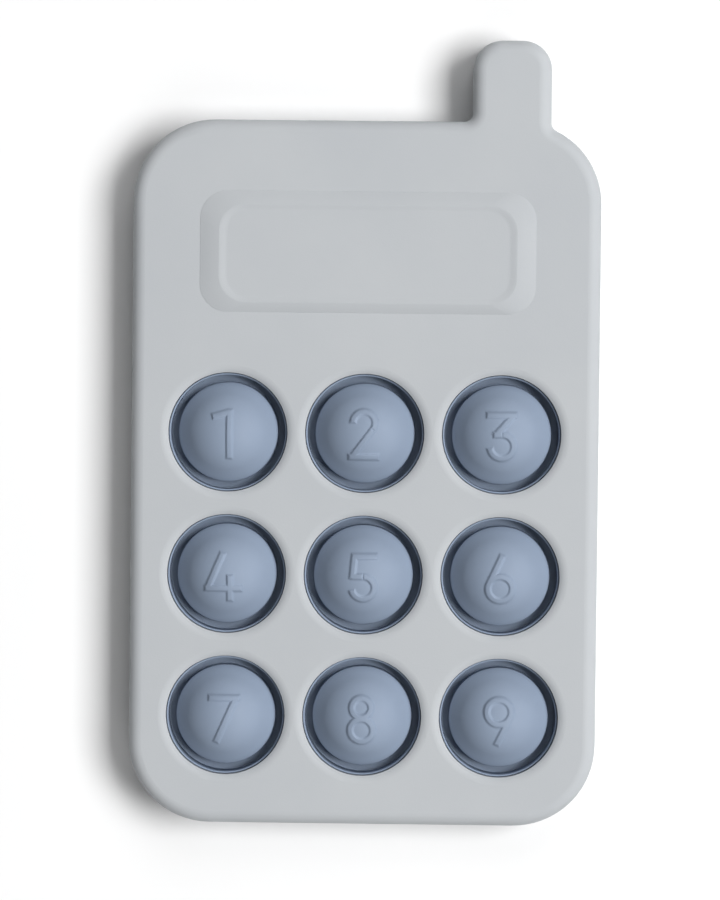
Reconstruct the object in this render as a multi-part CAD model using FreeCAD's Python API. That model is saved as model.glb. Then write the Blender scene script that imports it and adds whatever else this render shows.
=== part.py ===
"""Toy cell phone with nine press-through silicone domes.

Millimetres. The toy lies on its back: X to the right, Y towards the antenna,
Z up out of the face. The origin is the bottom centre of the bounding box.
"""
import math
import os

import FreeCAD
import Part

# Housing
WIDTH = 80.0
BODY_LENGTH = 120.5
FACE_Z = 11.0
CORNER_RADIUS = 14.0
EDGE_ROUND = 2.2
WALL = 2.0
PARTING_Z = 5.5
PARTING_CHAMFER = 0.25

# Antenna, one half moulded on each cover
ANTENNA_WIDTH = 13.4
ANTENNA_RISE = 13.9
ANTENNA_X = 24.6
ANTENNA_ROUND = 5.0
ANTENNA_ROOT = 16.0
FOOT_ROUND = 1.6

# Tongue and groove round the parting line
TONGUE_INSET = 1.15
GROOVE_INSET = 1.0
TONGUE_HEIGHT = 1.4
GROOVE_DEPTH = 1.6

# Keypad
COLUMN_PITCH = 23.4
ROW_PITCH = 24.25
LAST_ROW_RISE = 18.6
HOLE_RADIUS = 10.2
MOUTH_ROUND = 2.4
MOUTH_ANGLE = 36.0
HOLE_WALL = 1.7

# Screen relief on the front cover
SCREEN_CENTRE = (0.25, 30.8)
SCREEN_OUTER = (57.3, 20.7, 4.7)
SCREEN_CREST = (50.9, 16.8, 4.5)
SCREEN_PANEL = (47.9, 14.7, 3.7)
SCREEN_DROP = 0.3
SCREEN_STEP = 0.05
SCREEN_RISE = 0.7
SCREEN_FLOOR = 0.56
SCREEN_SWELL = 0.4

# Posts on the front cover and sockets on the back cover
POST_RADIUS = 1.8
POST_TIP_Z = 2.3
SOCKET_BORE = 1.95
SOCKET_RADIUS = 3.4
SOCKET_TOP_Z = 3.9
POST_HOLE_RADIUS = 2.4

# Silicone sheet
SHEET_LOW_Z = 4.2
SHEET_HIGH_Z = 5.8
SHEET_INSET = 2.9
SHEET_TOP_Y = 14.6
COLLAR_OUTER = 10.1
COLLAR_INNER = 9.75
COLLAR_TOP_Z = 9.8
COLLAR_ROUND = 0.15

# Silicone domes: a spherical crown, a cone below it, a rounded shoulder, a wall
DOME_BASE_RADIUS = 8.7
DOME_SHOULDER_RADIUS = 8.5
DOME_TOP_Z = 13.2
DOME_SPHERE = 9.0
DOME_CONE_ANGLE = 47.0
SHOULDER_ROUND = 0.35
SKIRT_WALL = 0.9
CROWN_WALL = 1.2
SPLIT_Z = 10.8
SPLIT_GAP = 0.02
NUMERAL_RISE = 0.5
NUMERAL_ROOT = 0.3
STROKE = 1.0

OVERALL_LENGTH = BODY_LENGTH + ANTENNA_RISE
BOTTOM_Y = -OVERALL_LENGTH / 2
BODY_TOP_Y = BOTTOM_Y + BODY_LENGTH
LAST_ROW_Y = BOTTOM_Y + LAST_ROW_RISE
DOME_CENTRE_Z = DOME_TOP_Z - DOME_SPHERE
UP = FreeCAD.Vector(0, 0, 1)


def vec(x, y, z=0.0):
    return FreeCAD.Vector(x, y, z)


def cylinder(x, y, radius, z_low, z_high):
    return Part.makeCylinder(radius, z_high - z_low, vec(x, y, z_low), UP)


def fuse_all(shapes):
    first, rest = shapes[0], shapes[1:]
    return first.multiFuse(rest).removeSplitter() if rest else first


def only_solid(shape):
    """The largest solid of a boolean's result, cleaned of seams."""
    solids = sorted(shape.Solids, key=lambda s: s.Volume)
    return solids[-1].removeSplitter()


def rounded_wire(width, length, radius, centre, z):
    """Rectangle with four corner arcs, started at the same corner every time."""
    cx, cy = centre
    hx, hy = width / 2, length / 2
    sides = []
    corners = [(1, -1, -90), (1, 1, 0), (-1, 1, 90), (-1, -1, 180)]
    for index, (sx, sy, start) in enumerate(corners):
        middle = vec(cx + sx * (hx - radius), cy + sy * (hy - radius), z)
        arc = Part.makeCircle(radius, middle, UP, start, start + 90)
        nx, ny, turn = corners[(index + 1) % 4]
        after = vec(cx + nx * (hx - radius), cy + ny * (hy - radius), z)
        angle = math.radians(start + 90)
        offset = vec(radius * math.cos(angle), radius * math.sin(angle))
        sides += [arc, Part.makeLine(middle + offset, after + offset)]
    return Part.Wire(sides)


def rounded_prism(width, length, radius, centre, z_low, z_high):
    face = Part.Face(rounded_wire(width, length, radius, centre, z_low))
    return face.extrude(vec(0, 0, z_high - z_low))


def is_vertical(edge):
    if len(edge.Vertexes) != 2:
        return False
    a, b = edge.Vertexes[0].Point, edge.Vertexes[1].Point
    return abs(a.x - b.x) < 1e-6 and abs(a.y - b.y) < 1e-6


def edges_at(shape, z):
    """Edges that lie in the horizontal plane at height z."""
    flat = []
    for edge in shape.Edges:
        box = edge.BoundBox
        if abs(box.ZMin - z) < 1e-4 and abs(box.ZMax - z) < 1e-4:
            flat.append(edge)
    return flat


def housing_block(inset, z_low, z_high):
    """Body and antenna outline, drawn in by inset and raised to a solid."""
    body_centre = (0.0, BOTTOM_Y + BODY_LENGTH / 2)
    body = rounded_prism(WIDTH - 2 * inset, BODY_LENGTH - 2 * inset,
                         CORNER_RADIUS - inset, body_centre, z_low, z_high)
    length = ANTENNA_RISE + ANTENNA_ROOT - inset
    antenna_centre = (ANTENNA_X, BODY_TOP_Y + ANTENNA_RISE - inset - length / 2)
    antenna = rounded_prism(ANTENNA_WIDTH - 2 * inset, length,
                            ANTENNA_ROUND - inset, antenna_centre, z_low, z_high)
    block = body.fuse(antenna).removeSplitter()
    feet = []
    for edge in block.Edges:
        if not is_vertical(edge):
            continue
        spot = edge.Vertexes[0].Point
        beside = abs(abs(spot.x - ANTENNA_X) - (ANTENNA_WIDTH / 2 - inset)) < 0.01
        if beside and BODY_TOP_Y - 3 - inset < spot.y < BODY_TOP_Y + 0.5:
            feet.append(edge)
    return block.makeFillet(FOOT_ROUND + inset, feet)


def dome_sites():
    """Numeral and centre of each dome, read like a phone keypad."""
    sites = []
    for row in range(3):
        for column in range(3):
            x = (column - 1) * COLUMN_PITCH
            y = LAST_ROW_Y + (2 - row) * ROW_PITCH
            sites.append((3 * row + column + 1, x, y))
    return sites


def post_sites():
    """Posts between the domes, beside the screen and in the antenna."""
    sites = []
    for side in (-1, 1):
        for gap in range(4):
            sites.append((side * COLUMN_PITCH / 2, LAST_ROW_Y + (gap - 0.5) * ROW_PITCH))
    sites += [(-32.0, 44.0), (32.0, 41.0), (0.0, 46.0), (ANTENNA_X, 59.5)]
    return sites


def revolved(points_and_arcs, x=0.0, y=0.0):
    """Solid turned about the vertical through (x, y) from a closed section.

    Each entry is the next corner (radius, z), or a pair of points for an arc
    through the first one to the second."""
    entries = points_and_arcs + [points_and_arcs[0]]
    here = vec(entries[0][0], 0, entries[0][1])
    edges = []
    for entry in entries[1:]:
        if isinstance(entry[0], tuple):
            middle, there = (vec(r, 0, z) for r, z in entry)
            edges.append(Part.Arc(here, middle, there).toShape())
        else:
            there = vec(entry[0], 0, entry[1])
            edges.append(Part.makeLine(here, there))
        here = there
    turned = Part.Face(Part.Wire(edges)).revolve(vec(0, 0, 0), UP, 360)
    return turned.translated(vec(x, y))


def hole_tool(x, y, face_z, z_end):
    """Cutter for one hole, with a shallow rounded mouth at face_z."""
    inward = 1 if z_end > face_z else -1

    def on_mouth(degrees):
        angle = math.radians(degrees)
        full = math.radians(MOUTH_ANGLE)
        radius = HOLE_RADIUS + MOUTH_ROUND * (math.sin(full) - math.sin(angle))
        return radius, face_z + inward * MOUTH_ROUND * (1 - math.cos(angle))

    rim = on_mouth(0)
    mouth = (on_mouth(MOUTH_ANGLE / 2), on_mouth(MOUTH_ANGLE))
    start_z = face_z - inward
    section = [(0, start_z), (rim[0], start_z), rim, mouth, (HOLE_RADIUS, z_end), (0, z_end)]
    return revolved(section, x, y)


def screen_section(outer, inner, share, drop, z):
    """Rounded rectangle part of the way from the outer one to the inner one."""
    size = [a + (b - a) * share for a, b in zip(outer, inner)]
    centre = (SCREEN_CENTRE[0], SCREEN_CENTRE[1] - drop)
    return rounded_wire(size[0], size[1], size[2], centre, z)


def screen_frame():
    """Raised surround of the blank screen: a long outer slope, a shallow inner one."""
    low = FACE_Z + SCREEN_STEP
    rise = SCREEN_RISE - SCREEN_STEP
    foot = rounded_prism(*SCREEN_OUTER, SCREEN_CENTRE, FACE_Z - 0.5, low)
    slope = []
    for share in (0.0, 0.3, 0.6, 0.85, 1.0):
        rounded = SCREEN_SWELL * math.sin(share * math.pi / 2)
        height = low + rise * ((1 - SCREEN_SWELL) * share + rounded)
        slope.append(screen_section(SCREEN_OUTER, SCREEN_CREST, share, share * SCREEN_DROP, height))
    frame = foot.fuse(Part.makeLoft(slope, True, False))
    well = []
    depth = SCREEN_RISE - SCREEN_FLOOR
    for share in (0.0, 0.15, 0.3, 0.5, 0.7, 0.85, 1.0):
        height = FACE_Z + SCREEN_FLOOR + depth * (1 + math.cos(share * math.pi)) / 2
        well.append(screen_section(SCREEN_CREST, SCREEN_PANEL, share, SCREEN_DROP, height))
    pocket = Part.makeLoft(well, True, True)
    centre = (SCREEN_CENTRE[0], SCREEN_CENTRE[1] - SCREEN_DROP)
    mouth = rounded_prism(*SCREEN_CREST, centre, FACE_Z + SCREEN_RISE, FACE_Z + 3)
    return frame, pocket.fuse(mouth)


def front_cover():
    block = housing_block(0.0, PARTING_Z, FACE_Z)
    block = block.makeFillet(EDGE_ROUND, edges_at(block, FACE_Z))
    block = block.makeChamfer(PARTING_CHAMFER, edges_at(block, PARTING_Z))
    cavity = housing_block(WALL, PARTING_Z - 1, FACE_Z - WALL)
    groove = housing_block(GROOVE_INSET, PARTING_Z - 1, PARTING_Z + GROOVE_DEPTH)
    shell = block.cut(cavity).cut(groove)
    inside = []
    for _, x, y in dome_sites():
        inside.append(cylinder(x, y, HOLE_RADIUS + HOLE_WALL, SHEET_HIGH_Z, FACE_Z - 1))
    for x, y in post_sites():
        inside.append(cylinder(x, y, POST_RADIUS, POST_TIP_Z, FACE_Z - 1))
    frame, pocket = screen_frame()
    shell = shell.multiFuse(inside + [frame]).cut(pocket)
    for _, x, y in dome_sites():
        shell = shell.cut(hole_tool(x, y, FACE_Z, SHEET_HIGH_Z - 1))
    return only_solid(shell)


def back_cover():
    block = housing_block(0.0, 0.0, PARTING_Z)
    block = block.makeFillet(EDGE_ROUND, edges_at(block, 0.0))
    block = block.makeChamfer(PARTING_CHAMFER, edges_at(block, PARTING_Z))
    tongue = housing_block(TONGUE_INSET, PARTING_Z - 1, PARTING_Z + TONGUE_HEIGHT)
    cavity = housing_block(WALL, WALL, PARTING_Z + TONGUE_HEIGHT + 1)
    shell = block.fuse(tongue).cut(cavity)
    inside = []
    for _, x, y in dome_sites():
        inside.append(cylinder(x, y, HOLE_RADIUS + HOLE_WALL, 1.0, SHEET_LOW_Z))
    for x, y in post_sites():
        inside.append(cylinder(x, y, SOCKET_RADIUS, 1.0, SOCKET_TOP_Z))
    shell = shell.multiFuse(inside)
    for _, x, y in dome_sites():
        shell = shell.cut(hole_tool(x, y, 0.0, SHEET_LOW_Z + 1))
    for x, y in post_sites():
        shell = shell.cut(cylinder(x, y, SOCKET_BORE, WALL, SOCKET_TOP_Z + 1))
    return only_solid(shell)


def membrane():
    """Silicone sheet held between the covers, with a collar up each hole."""
    width = WIDTH - 2 * SHEET_INSET
    low_y = BOTTOM_Y + SHEET_INSET
    length = SHEET_TOP_Y - low_y
    centre = (0.0, low_y + length / 2)
    sheet = rounded_prism(width, length, CORNER_RADIUS - SHEET_INSET, centre,
                          SHEET_LOW_Z, SHEET_HIGH_Z)
    collars = []
    for _, x, y in dome_sites():
        collar = cylinder(x, y, COLLAR_OUTER, SHEET_HIGH_Z - 0.5, COLLAR_TOP_Z)
        collar = collar.cut(cylinder(x, y, COLLAR_INNER, SHEET_LOW_Z, COLLAR_TOP_Z + 1))
        collars.append(collar.makeFillet(COLLAR_ROUND, edges_at(collar, COLLAR_TOP_Z)))
    sheet = sheet.multiFuse(collars)
    for _, x, y in dome_sites():
        sheet = sheet.cut(dome_plug(0.0, 0.0).translated(vec(x, y)))
    for x, y in post_sites():
        if y < SHEET_TOP_Y:
            sheet = sheet.cut(cylinder(x, y, POST_HOLE_RADIUS, SHEET_LOW_Z - 1, SHEET_HIGH_Z + 1))
    return only_solid(sheet)


def dome_plug(wall_inset, crown_inset):
    """Solid dome: tapered foot, upright wall, shoulder edge, cone and sphere."""
    sphere = DOME_SPHERE - crown_inset
    cone = math.radians(DOME_CONE_ANGLE)
    radius = DOME_SHOULDER_RADIUS - wall_inset
    tangent = (sphere * math.sin(cone), DOME_CENTRE_Z + sphere * math.cos(cone))
    shoulder = (radius, tangent[1] - (radius - tangent[0]) * math.tan(cone))
    middle = (sphere * math.sin(cone / 2), DOME_CENTRE_Z + sphere * math.cos(cone / 2))
    apex = (0, DOME_CENTRE_Z + sphere)
    foot = (DOME_BASE_RADIUS - wall_inset, SHEET_LOW_Z)
    floor = (radius, SHEET_HIGH_Z)
    return revolved([(0, SHEET_LOW_Z), foot, floor, shoulder, tangent, (middle, apex)])


def shoulder_edges(plug):
    """The ring where the wall meets the cone: the first flat one above the sheet's floor."""
    rings = []
    for edge in plug.Edges:
        box = edge.BoundBox
        if box.ZMax - box.ZMin < 1e-4 and box.ZMin > SHEET_HIGH_Z + 0.01:
            rings.append(edge)
    return [min(rings, key=lambda edge: edge.BoundBox.ZMin)]


def dome_shell():
    outer = dome_plug(0.0, 0.0)
    inner = dome_plug(SKIRT_WALL, CROWN_WALL)
    outer = outer.makeFillet(SHOULDER_ROUND, shoulder_edges(outer))
    inner = inner.makeFillet(SHOULDER_ROUND, shoulder_edges(inner))
    return outer.cut(inner)


def bar(start, end):
    """Straight stroke with square ends."""
    a, b = vec(*start), vec(*end)
    along = (b - a).normalize()
    side = vec(-along.y, along.x) * (STROKE / 2)
    return Part.Face(Part.makePolygon([a + side, b + side, b - side, a - side, a + side]))


def ring(centre, radius):
    outer = Part.Wire(Part.makeCircle(radius + STROKE / 2, vec(*centre)))
    inner = Part.Wire(Part.makeCircle(radius - STROKE / 2, vec(*centre)))
    return Part.Face(outer).cut(Part.Face(inner))


def arc(centre, radius, start, end):
    """Curved stroke, from one angle to the other in degrees."""
    middle = vec(*centre)
    outer = Part.makeCircle(radius + STROKE / 2, middle, UP, start, end)
    inner = Part.makeCircle(radius - STROKE / 2, middle, UP, start, end)
    ends = []
    for turn in (start, end):
        way = vec(math.cos(math.radians(turn)), math.sin(math.radians(turn)))
        ends.append(Part.makeLine(middle + way * (radius - STROKE / 2),
                                  middle + way * (radius + STROKE / 2)))
    return Part.Face(Part.Wire([inner, ends[0], outer, ends[1]]))


def touch_point(point, centre, radius, side):
    """Where a line from point touches the circle, on its left (1) or right (-1)."""
    dx, dy = centre[0] - point[0], centre[1] - point[1]
    distance = math.hypot(dx, dy)
    heading = math.atan2(dy, dx) + side * math.asin(radius / distance)
    reach = math.sqrt(distance ** 2 - radius ** 2)
    return (point[0] + reach * math.cos(heading), point[1] + reach * math.sin(heading))


def numeral_strokes(number):
    """Centre-line drawing of each numeral, about 8.4 mm tall."""
    if number == 1:
        return [bar((0.35, 3.9), (0.35, -4.5)), bar((-2.6, 2.65), (0.5, 3.5))]
    if number == 2:
        bowl, foot = (-0.1, 1.85), (-2.15, -4.0)
        joint = touch_point(foot, bowl, 1.9, -1)
        turn = math.degrees(math.atan2(joint[1] - bowl[1], joint[0] - bowl[0]))
        return [arc(bowl, 1.9, turn, 180), bar(foot, joint), bar((-2.75, -4.0), (2.55, -4.0))]
    if number == 3:
        return [bar((-2.65, 3.4), (2.6, 3.4)), bar((2.15, 3.6), (-1.2, -0.15)),
                bar((-1.45, 0.05), (0.1, 0.1)), arc((0.0, -1.95), 2.05, -172, 90)]
    if number == 4:
        return [bar((-0.55, 3.7), (-3.15, -2.4)), bar((-3.65, -2.4), (2.8, -2.4)),
                bar((0.7, -0.1), (0.7, -4.6))]
    if number == 5:
        return [bar((-1.95, 3.3), (2.45, 3.3)), bar((-1.5, 3.4), (-1.85, -0.5)),
                bar((-2.05, -0.1), (0.0, -0.1)), arc((0.0, -2.05), 1.95, -168, 90)]
    if number == 6:
        bowl, tip = (0.0, -1.95), (0.4, 3.8)
        return [ring(bowl, 2.1), bar(tip, touch_point(tip, bowl, 2.1, -1))]
    if number == 7:
        return [bar((-2.8, 3.1), (2.6, 3.1)), bar((2.05, 3.4), (-1.5, -4.6))]
    if number == 8:
        return [ring((-0.05, 1.7), 1.65), ring((0.0, -2.15), 1.95)]
    bowl, tip = (0.05, 1.25), (-0.35, -4.5)
    return [ring(bowl, 2.1), bar(tip, touch_point(tip, bowl, 2.1, -1))]


def numeral(number):
    """Raised numeral that follows the curve of the dome."""
    centre = vec(0, 0, DOME_CENTRE_Z)
    skin = Part.makeSphere(DOME_SPHERE + NUMERAL_RISE, centre)
    skin = skin.cut(Part.makeSphere(DOME_SPHERE - NUMERAL_ROOT, centre))
    strokes = []
    for stroke in numeral_strokes(number):
        stroke.translate(vec(0, 0, SPLIT_Z + SPLIT_GAP))
        strokes.append(stroke.extrude(UP * DOME_SPHERE))
    return fuse_all(strokes).common(skin)


def above(z):
    return cylinder(0, 0, 20, z, z + 20)


def build():
    parts = {"front_cover": front_cover(), "back_cover": back_cover(), "membrane": membrane()}
    shell = dome_shell()
    skirt = only_solid(shell.cut(above(SPLIT_Z)))
    crown = only_solid(shell.common(above(SPLIT_Z + SPLIT_GAP)))
    for number, x, y in dome_sites():
        here = vec(x, y)
        parts["dome_%d_skirt" % number] = skirt.translated(here)
        top = only_solid(crown.fuse(numeral(number)))
        parts["dome_%d_crown" % number] = top.translated(here)
    return parts


def main():
    os.makedirs("parts", exist_ok=True)
    for name, shape in build().items():
        box = shape.BoundBox
        print(name, shape.ShapeType, shape.isValid(), len(shape.Solids), "%.1f mm3" % shape.Volume,
              "z %.2f..%.2f" % (box.ZMin, box.ZMax))
        shape.exportStep("parts/%s.step" % name)


main()
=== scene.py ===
import math

import bmesh
import bpy
import numpy as np
from mathutils import Euler, Matrix, Vector


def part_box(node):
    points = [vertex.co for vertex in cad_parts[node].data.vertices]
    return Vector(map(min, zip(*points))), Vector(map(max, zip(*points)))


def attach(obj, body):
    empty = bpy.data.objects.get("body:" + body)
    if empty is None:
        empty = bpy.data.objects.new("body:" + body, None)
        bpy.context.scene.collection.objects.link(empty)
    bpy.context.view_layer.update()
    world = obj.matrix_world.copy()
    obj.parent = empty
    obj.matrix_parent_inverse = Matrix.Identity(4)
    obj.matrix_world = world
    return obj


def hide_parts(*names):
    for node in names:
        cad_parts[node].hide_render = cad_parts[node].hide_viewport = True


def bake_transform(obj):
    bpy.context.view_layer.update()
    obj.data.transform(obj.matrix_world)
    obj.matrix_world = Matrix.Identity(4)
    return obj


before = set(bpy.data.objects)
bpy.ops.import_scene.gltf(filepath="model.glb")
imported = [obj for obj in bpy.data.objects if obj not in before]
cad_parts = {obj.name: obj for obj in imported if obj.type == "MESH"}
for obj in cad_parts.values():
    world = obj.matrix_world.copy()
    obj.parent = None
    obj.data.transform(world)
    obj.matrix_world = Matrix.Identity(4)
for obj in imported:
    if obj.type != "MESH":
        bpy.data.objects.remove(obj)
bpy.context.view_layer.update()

MM = 0.001

# Silicone moulding, in millimetres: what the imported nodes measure
SHEET_LOW_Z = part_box("dome_1_skirt")[0].z / MM
COLLAR_TOP_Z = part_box("membrane")[1].z / MM

# and what they don't say
SHEET_THICKNESS = 1.6
SHEET_HIGH_Z = SHEET_LOW_Z + SHEET_THICKNESS
SHEET_CORNER = 11.1
WALL_RADIUS = 8.5
SHOULDER_ROUND = 0.35
CONE_ANGLE = math.radians(47)
SPHERE = 9.0
CENTRE_Z = SHEET_LOW_Z
SKIN = 0.28
COLLAR_INNER = 9.8
COLLAR_OUTER = 10.1

# The dome's fillet on to the sheet, how far its flange laps under the sheet's
# edge, and how deep the collars are rooted in the sheet
FOOT_ROUND = 0.2
FLANGE = 0.1
SEAM = 0.05
SINK = 0.01
COLLAR_ROOT = 0.4

# Raised numerals: height, stroke, width of the soft edge, and how far from the
# dome's axis they reach
RELIEF = 0.32
STROKE = 1.0
STROKE_SOFT = 0.5
NUMERAL_REACH = 6.6
FAR = 9.0

# Fineness of the turned meshes
SECTORS = 288
CROWN_RINGS = 64
CONE_RINGS = 12
WALL_RINGS = 8
SHOULDER_RINGS = 8
FILLET_RINGS = 6
LIP_RINGS = 12
CORNER_STEPS = 16

# Studio: a floor a hair below the resting face, so that the two never share a
# plane, lights at one distance and a camera straight above
FLOOR_Z = -0.00005
FLOOR_HALF = 1.5
LIGHT_DISTANCE = 2.8
SKY_COLOUR = (0.97, 0.985, 1.0, 1)
SKY_STRENGTH = 0.08
CAMERA_DISTANCE = 0.7
CAMERA_TILT = (1.80, -0.95, -0.65)
CAMERA_AIM = (0.98, 3.25)
SENSOR = 36.0
LENS = 201.74


def dome_centre(number):
    low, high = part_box("dome_%d_skirt" % number)
    return ((low.x + high.x) / 2 / MM, (low.y + high.y) / 2 / MM)


# ---------------------------------------------------------------- numerals

def touch_point(point, centre, radius, side):
    dx, dy = centre[0] - point[0], centre[1] - point[1]
    distance = math.hypot(dx, dy)
    heading = math.atan2(dy, dx) + side * math.asin(radius / distance)
    reach = math.sqrt(distance ** 2 - radius ** 2)
    return (point[0] + reach * math.cos(heading), point[1] + reach * math.sin(heading))


def bar(start, end):
    return ("bar", start, end)


def ring(centre, radius):
    return ("arc", centre, radius, -180.0, 180.0)


def arc(centre, radius, start, end):
    return ("arc", centre, radius, start, end)


def numeral_strokes(number):
    """Centre-line drawing of each numeral, about 8.4 mm tall."""
    if number == 1:
        return [bar((0.35, 3.9), (0.35, -4.5)), bar((-2.6, 2.65), (0.5, 3.5))]
    if number == 2:
        bowl, foot = (-0.1, 1.85), (-2.15, -4.0)
        joint = touch_point(foot, bowl, 1.9, -1)
        turn = math.degrees(math.atan2(joint[1] - bowl[1], joint[0] - bowl[0]))
        return [arc(bowl, 1.9, turn, 180), bar(foot, joint), bar((-2.75, -4.0), (2.55, -4.0))]
    if number == 3:
        return [bar((-2.65, 3.4), (2.6, 3.4)), bar((2.15, 3.6), (-1.2, -0.15)),
                bar((-1.45, 0.05), (0.1, 0.1)), arc((0.0, -1.95), 2.05, -172, 90)]
    if number == 4:
        return [bar((-0.55, 3.7), (-3.15, -2.4)), bar((-3.65, -2.4), (2.8, -2.4)),
                bar((0.7, -0.1), (0.7, -4.6))]
    if number == 5:
        return [bar((-1.95, 3.3), (2.45, 3.3)), bar((-1.5, 3.4), (-1.85, -0.5)),
                bar((-2.05, -0.1), (0.0, -0.1)), arc((0.0, -2.05), 1.95, -168, 90)]
    if number == 6:
        bowl, tip = (0.0, -1.95), (0.4, 3.8)
        return [ring(bowl, 2.1), bar(tip, touch_point(tip, bowl, 2.1, -1))]
    if number == 7:
        return [bar((-2.8, 3.1), (2.6, 3.1)), bar((2.05, 3.4), (-1.5, -4.6))]
    if number == 8:
        return [ring((-0.05, 1.7), 1.65), ring((0.0, -2.15), 1.95)]
    bowl, tip = (0.05, 1.25), (-0.35, -4.5)
    return [ring(bowl, 2.1), bar(tip, touch_point(tip, bowl, 2.1, -1))]


def bar_distance(x, y, start, end):
    """Signed distance to a straight stroke with square ends."""
    length = math.hypot(end[0] - start[0], end[1] - start[1])
    ux, uy = (end[0] - start[0]) / length, (end[1] - start[1]) / length
    cx, cy = (start[0] + end[0]) / 2, (start[1] + end[1]) / 2
    along = np.abs((x - cx) * ux + (y - cy) * uy) - length / 2
    across = np.abs((y - cy) * ux - (x - cx) * uy) - STROKE / 2
    outside = np.hypot(np.maximum(along, 0), np.maximum(across, 0))
    return outside + np.minimum(np.maximum(along, across), 0)


def arc_distance(x, y, centre, radius, start, end):
    """Signed distance to a curved stroke; a full turn is a ring."""
    px, py = x - centre[0], y - centre[1]
    reach = np.hypot(px, py)
    band = np.abs(reach - radius) - STROKE / 2
    half = math.radians(end - start) / 2
    if half > math.pi - 1e-6:
        return band
    middle = math.radians(start + end) / 2
    turn = np.abs((np.arctan2(py, px) - middle + math.pi) % (2 * math.pi) - math.pi)
    over = turn - half
    past_end = reach * np.sin(np.clip(over, -1.2, math.pi / 2))
    beyond = np.where(over < math.pi / 2, past_end, FAR)
    outside = np.hypot(np.maximum(beyond, 0), np.maximum(band, 0))
    return outside + np.minimum(np.maximum(beyond, band), 0)


def relief(x, y, number):
    """Height of the raised numeral over the dome's skin."""
    nearest = np.full_like(x, FAR)
    for kind, *facts in numeral_strokes(number):
        measure = bar_distance if kind == "bar" else arc_distance
        nearest = np.minimum(nearest, measure(x, y, *facts))
    t = np.clip((STROKE_SOFT / 2 - nearest) / STROKE_SOFT, 0, 1)
    return RELIEF * t * t * (3 - 2 * t)


# ------------------------------------------------------------------- domes

def dome_section(inset, foot_z):
    """Points of a dome's section: upright wall, rounded shoulder, cone, sphere."""
    sphere = SPHERE - inset
    rounding = SHOULDER_ROUND - inset
    wall = WALL_RADIUS - inset
    tangent_x = sphere * math.sin(CONE_ANGLE)
    tangent_z = CENTRE_Z + sphere * math.cos(CONE_ANGLE)
    # the shoulder's arc touches the wall and the cone
    arc_x = wall - rounding
    cone_x = arc_x + rounding * math.sin(CONE_ANGLE)
    cone_z = tangent_z - (cone_x - tangent_x) * math.tan(CONE_ANGLE)
    arc_z = cone_z - rounding * math.cos(CONE_ANGLE)
    points = []
    for step in range(WALL_RINGS + 1):
        points.append((wall, foot_z + (arc_z - foot_z) * step / WALL_RINGS))
    for step in range(1, SHOULDER_RINGS + 1):
        turn = (math.pi / 2 - CONE_ANGLE) * step / SHOULDER_RINGS
        points.append((arc_x + rounding * math.cos(turn), arc_z + rounding * math.sin(turn)))
    for step in range(1, CONE_RINGS + 1):
        share = step / CONE_RINGS
        points.append((cone_x + (tangent_x - cone_x) * share, cone_z + (tangent_z - cone_z) * share))
    for step in range(1, CROWN_RINGS + 1):
        turn = CONE_ANGLE * (1 - step / CROWN_RINGS)
        points.append((sphere * math.sin(turn), CENTRE_Z + sphere * math.cos(turn)))
    return points


def foot_section():
    """Soft fillet from the sheet's floor up on to the dome's wall."""
    edge = WALL_RADIUS + FOOT_ROUND
    floor_z = SHEET_HIGH_Z - SINK
    points = [(edge + FLANGE, floor_z)]
    for step in range(FILLET_RINGS):
        turn = math.radians(90 * step / FILLET_RINGS)
        drawn_in = FOOT_ROUND * math.sin(turn)
        raised = FOOT_ROUND * (1 - math.cos(turn))
        points.append((edge - drawn_in, floor_z + raised))
    return points


def lathe(bm, points, cx, cy, number=None, sectors=SECTORS):
    """Rings of vertices turned about a dome's axis. The last point may be the apex."""
    rings = []
    turns = np.arange(sectors) * 2 * math.pi / sectors
    for radius, height in points:
        if radius < 1e-6:
            lift = float(relief(np.zeros(1), np.zeros(1), number)[0]) if number else 0.0
            rings.append([bm.verts.new((cx * MM, cy * MM, (height + lift) * MM))])
            continue
        x, y = radius * np.cos(turns), radius * np.sin(turns)
        raised = number and radius < NUMERAL_REACH
        lift = relief(x, y, number) if raised else np.zeros(sectors)
        rings.append([bm.verts.new(((cx + a) * MM, (cy + b) * MM, (height + c) * MM))
                      for a, b, c in zip(x, y, lift)])
    return rings


def skin_rings(bm, rings, flip=False):
    """Faces between each ring and the next, in order."""
    for low, high in zip(rings, rings[1:]):
        count = len(low)
        for k in range(count):
            n = (k + 1) % count
            if len(high) == 1:
                corners = [low[k], low[n], high[0]]
            else:
                corners = [low[k], low[n], high[n], high[k]]
            bm.faces.new(corners[::-1] if flip else corners)


def finish_mesh(bm, name):
    mesh = bpy.data.meshes.new(name)
    bm.normal_update()
    bm.to_mesh(mesh)
    bm.free()
    for face in mesh.polygons:
        face.use_smooth = True
    piece = bpy.data.objects.new(name, mesh)
    bpy.context.scene.collection.objects.link(piece)
    return piece


def build_dome(number):
    """One closed thin skin: fillet, wall, shoulder, numbered crown, and its lining."""
    cx, cy = dome_centre(number)
    bm = bmesh.new()
    outer = foot_section() + dome_section(0.0, SHEET_HIGH_Z + FOOT_ROUND)
    inner = dome_section(SKIN, SHEET_LOW_Z + SINK)
    top = lathe(bm, outer, cx, cy, number)
    lining = lathe(bm, inner, cx, cy)
    foot = lathe(bm, [(outer[0][0], SHEET_LOW_Z + SINK)], cx, cy)[0]
    skin_rings(bm, top)
    skin_rings(bm, lining, flip=True)
    skin_rings(bm, [foot, top[0]])
    skin_rings(bm, [lining[0], foot])
    return finish_mesh(bm, "dome_%d" % number)


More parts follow.
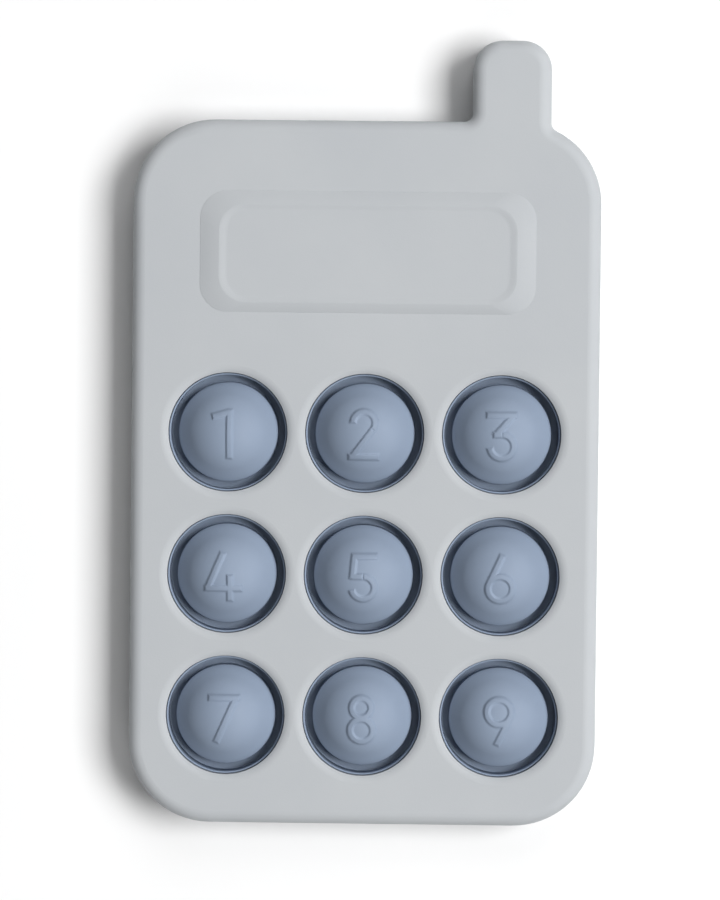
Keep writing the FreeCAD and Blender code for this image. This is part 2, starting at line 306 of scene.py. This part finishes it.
def build_sheet():
    """Silicone sheet between the covers, with a round-lipped collar up each hole."""
    low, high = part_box("membrane")
    curve = bpy.data.curves.new("sheet_outline", "CURVE")
    curve.dimensions = "2D"
    curve.fill_mode = "BOTH"
    curve.extrude = (SHEET_HIGH_Z - SHEET_LOW_Z) / 2 * MM

    def loop(points):
        spline = curve.splines.new("POLY")
        spline.points.add(len(points) - 1)
        for target, (x, y) in zip(spline.points, points):
            target.co = (x, y, 0, 1)
        spline.use_cyclic_u = True

    radius = SHEET_CORNER * MM
    outline = []
    for sx, sy, start in ((1, -1, -90), (1, 1, 0), (-1, 1, 90), (-1, -1, 180)):
        mx = (high.x if sx > 0 else low.x) - sx * radius
        my = (high.y if sy > 0 else low.y) - sy * radius
        for step in range(CORNER_STEPS + 1):
            turn = math.radians(start + 90 * step / CORNER_STEPS)
            outline.append((mx + radius * math.cos(turn), my + radius * math.sin(turn)))
    loop(outline)
    for number in range(1, 10):
        cx, cy = dome_centre(number)
        seam = WALL_RADIUS + FOOT_ROUND + SEAM
        loop([((cx + seam * math.cos(t)) * MM, (cy + seam * math.sin(t)) * MM)
              for t in np.arange(SECTORS) * 2 * math.pi / SECTORS])
    flat = bpy.data.objects.new("sheet_outline", curve)
    bpy.context.scene.collection.objects.link(flat)
    bpy.context.view_layer.update()
    graph = bpy.context.evaluated_depsgraph_get()
    mesh = bpy.data.meshes.new_from_object(flat.evaluated_get(graph))
    bpy.data.objects.remove(flat)
    mesh.transform(Matrix.Translation((0, 0, (SHEET_LOW_Z + SHEET_HIGH_Z) / 2 * MM)))
    bm = bmesh.new()
    bm.from_mesh(mesh)
    bpy.data.meshes.remove(mesh)
    lip = (COLLAR_OUTER - COLLAR_INNER) / 2
    middle = (COLLAR_OUTER + COLLAR_INNER) / 2
    root_z = SHEET_HIGH_Z - COLLAR_ROOT
    section = [(COLLAR_OUTER, root_z)]
    for step in range(LIP_RINGS + 1):
        turn = math.pi * step / LIP_RINGS
        section.append((middle + lip * math.cos(turn), COLLAR_TOP_Z - lip + lip * math.sin(turn)))
    section.append((COLLAR_INNER, root_z))
    for number in range(1, 10):
        rings = lathe(bm, section, *dome_centre(number), sectors=SECTORS // 2)
        skin_rings(bm, rings + [rings[0]])
    return finish_mesh(bm, "silicone_sheet")


# --------------------------------------------------------------- materials

def node(tree, kind, inputs=None, **settings):
    """Shader node with its inputs linked or set."""
    made = tree.nodes.new(kind)
    for key, value in settings.items():
        setattr(made, key, value)
    for key, value in (inputs or {}).items():
        if isinstance(value, bpy.types.NodeSocket):
            tree.links.new(value, made.inputs[key])
        else:
            made.inputs[key].default_value = value
    return made


def noise(tree, coords, scale, detail=3.0, roughness=0.55):
    inputs = {"Vector": coords, "Scale": scale, "Detail": detail, "Roughness": roughness}
    return node(tree, "ShaderNodeTexNoise", inputs).outputs["Fac"]


def ramp(tree, value, low, high, out_low, out_high):
    inputs = {"Value": value, "From Min": low, "From Max": high, "To Min": out_low, "To Max": out_high}
    return node(tree, "ShaderNodeMapRange", inputs).outputs["Result"]


def mix_colour(tree, share, a, b):
    made = node(tree, "ShaderNodeMix", data_type="RGBA")
    tree.links.new(share, made.inputs["Factor"])
    made.inputs["A"].default_value = (*a, 1)
    made.inputs["B"].default_value = (*b, 1)
    return made.outputs["Result"]


def surface(name):
    material = bpy.data.materials.new(name)
    material.use_nodes = True
    tree = material.node_tree
    shader = tree.nodes["Principled BSDF"]
    coords = tree.nodes.new("ShaderNodeTexCoord").outputs["Object"]
    return material, tree, shader, coords


def shell_plastic():
    """Light cool grey ABS with a fine spark-eroded grain and faint mottling."""
    material, tree, shader, coords = surface("shell_plastic")
    mottle = noise(tree, coords, 55, 4.0)
    grain = noise(tree, coords, 3200, 2.0, 0.6)
    fine = noise(tree, coords, 7000, 1.0, 0.5)
    share = ramp(tree, mottle, 0.3, 0.7, 0.0, 1.0)
    colour = mix_colour(tree, share, (0.418, 0.437, 0.457), (0.437, 0.455, 0.472))
    tree.links.new(colour, shader.inputs["Base Color"])
    tree.links.new(ramp(tree, grain, 0.25, 0.75, 0.58, 0.70), shader.inputs["Roughness"])
    shader.inputs["Specular IOR Level"].default_value = 0.30
    first = node(tree, "ShaderNodeBump", {"Height": grain, "Strength": 0.22, "Distance": 0.00006})
    second = node(tree, "ShaderNodeBump", {"Height": fine, "Strength": 0.15, "Distance": 0.00003,
                                           "Normal": first.outputs["Normal"]})
    tree.links.new(second.outputs["Normal"], shader.inputs["Normal"])
    return material


def silicone():
    """Dusty slate-blue silicone: a matt satin skin, faintly mottled, with tiny pores."""
    material, tree, shader, coords = surface("silicone_blue")
    mottle = noise(tree, coords, 90, 3.0)
    haze = noise(tree, coords, 420, 4.0, 0.6)
    pores = noise(tree, coords, 5200, 2.0, 0.6)
    share = ramp(tree, mottle, 0.3, 0.7, 0.0, 1.0)
    colour = mix_colour(tree, share, (0.225, 0.279, 0.369), (0.239, 0.295, 0.387))
    tree.links.new(colour, shader.inputs["Base Color"])
    tree.links.new(ramp(tree, haze, 0.3, 0.7, 0.62, 0.72), shader.inputs["Roughness"])
    shader.inputs["Specular IOR Level"].default_value = 0.38
    bump = node(tree, "ShaderNodeBump", {"Height": pores, "Strength": 0.15, "Distance": 0.00004})
    tree.links.new(bump.outputs["Normal"], shader.inputs["Normal"])
    return material


def paint(piece, material):
    piece.data.materials.clear()
    piece.data.materials.append(material)


# ------------------------------------------------------------------- build

SHELL = shell_plastic()
SILICONE = silicone()

for name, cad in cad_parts.items():
    paint(cad, SHELL if name.endswith("_cover") else SILICONE)

sheet = build_sheet()
paint(sheet, SILICONE)
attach(sheet, "housing")
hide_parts("membrane")

for number in range(1, 10):
    dome = build_dome(number)
    paint(dome, SILICONE)
    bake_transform(dome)
    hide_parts("dome_%d_crown" % number, "dome_%d_skirt" % number)


# ------------------------------------------------------------ stage, light

def build_floor():
    mesh = bpy.data.meshes.new("floor")
    corners = [(x * FLOOR_HALF, y * FLOOR_HALF, FLOOR_Z) for x, y in ((-1, -1), (1, -1), (1, 1), (-1, 1))]
    mesh.from_pydata(corners, [], [(0, 1, 2, 3)])
    floor = bpy.data.objects.new("floor", mesh)
    bpy.context.scene.collection.objects.link(floor)
    material, tree, shader, coords = surface("floor_white")
    share = ramp(tree, noise(tree, coords, 12, 2.0), 0.3, 0.7, 0.0, 1.0)
    colour = mix_colour(tree, share, (0.845, 0.845, 0.845), (0.865, 0.865, 0.865))
    tree.links.new(colour, shader.inputs["Base Color"])
    shader.inputs["Roughness"].default_value = 0.9
    shader.inputs["Specular IOR Level"].default_value = 0.1
    mesh.materials.append(material)


def softbox(name, tilt_x, tilt_y, width, height, power):
    """Soft light on the toy, tilted from straight above towards +X and +Y, in degrees."""
    light = bpy.data.lights.new(name, "AREA")
    light.shape = "RECTANGLE"
    light.size = width
    light.size_y = height
    light.energy = power
    lamp = bpy.data.objects.new(name, light)
    slope_x, slope_y = math.tan(math.radians(tilt_x)), math.tan(math.radians(tilt_y))
    towards = Vector((slope_x, slope_y, 1)).normalized()
    lamp.location = towards * LIGHT_DISTANCE
    lamp.rotation_euler = (-towards).to_track_quat("-Z", "Y").to_euler()
    bpy.context.scene.collection.objects.link(lamp)


def build_light():
    softbox("key", 34, 3, 1.7, 1.3, 90.0)
    softbox("fill_far", 10, 45, 1.6, 1.6, 17.0)
    softbox("fill_near", 10, -45, 1.6, 1.6, 13.0)
    world = bpy.data.worlds.new("studio")
    world.use_nodes = True
    sky = world.node_tree.nodes["Background"]
    sky.inputs["Color"].default_value = SKY_COLOUR
    sky.inputs["Strength"].default_value = SKY_STRENGTH
    bpy.context.scene.world = world


def build_camera():
    """Straight above the toy, a degree or two off square."""
    turn = Euler([math.radians(angle) for angle in CAMERA_TILT], "XYZ").to_matrix()
    shift = Vector((CAMERA_AIM[0] * MM, CAMERA_AIM[1] * MM, -CAMERA_DISTANCE))
    data = bpy.data.cameras.new("camera")
    data.sensor_fit = "HORIZONTAL"
    data.sensor_width = SENSOR
    data.lens = LENS
    data.clip_start = 0.01
    camera = bpy.data.objects.new("camera", data)
    inverse = turn.transposed()
    camera.matrix_world = Matrix.Translation(-(inverse @ shift)) @ inverse.to_4x4()
    bpy.context.scene.collection.objects.link(camera)
    bpy.context.scene.camera = camera


build_floor()
build_light()
build_camera()
bpy.context.scene.view_settings.view_transform = "Standard"
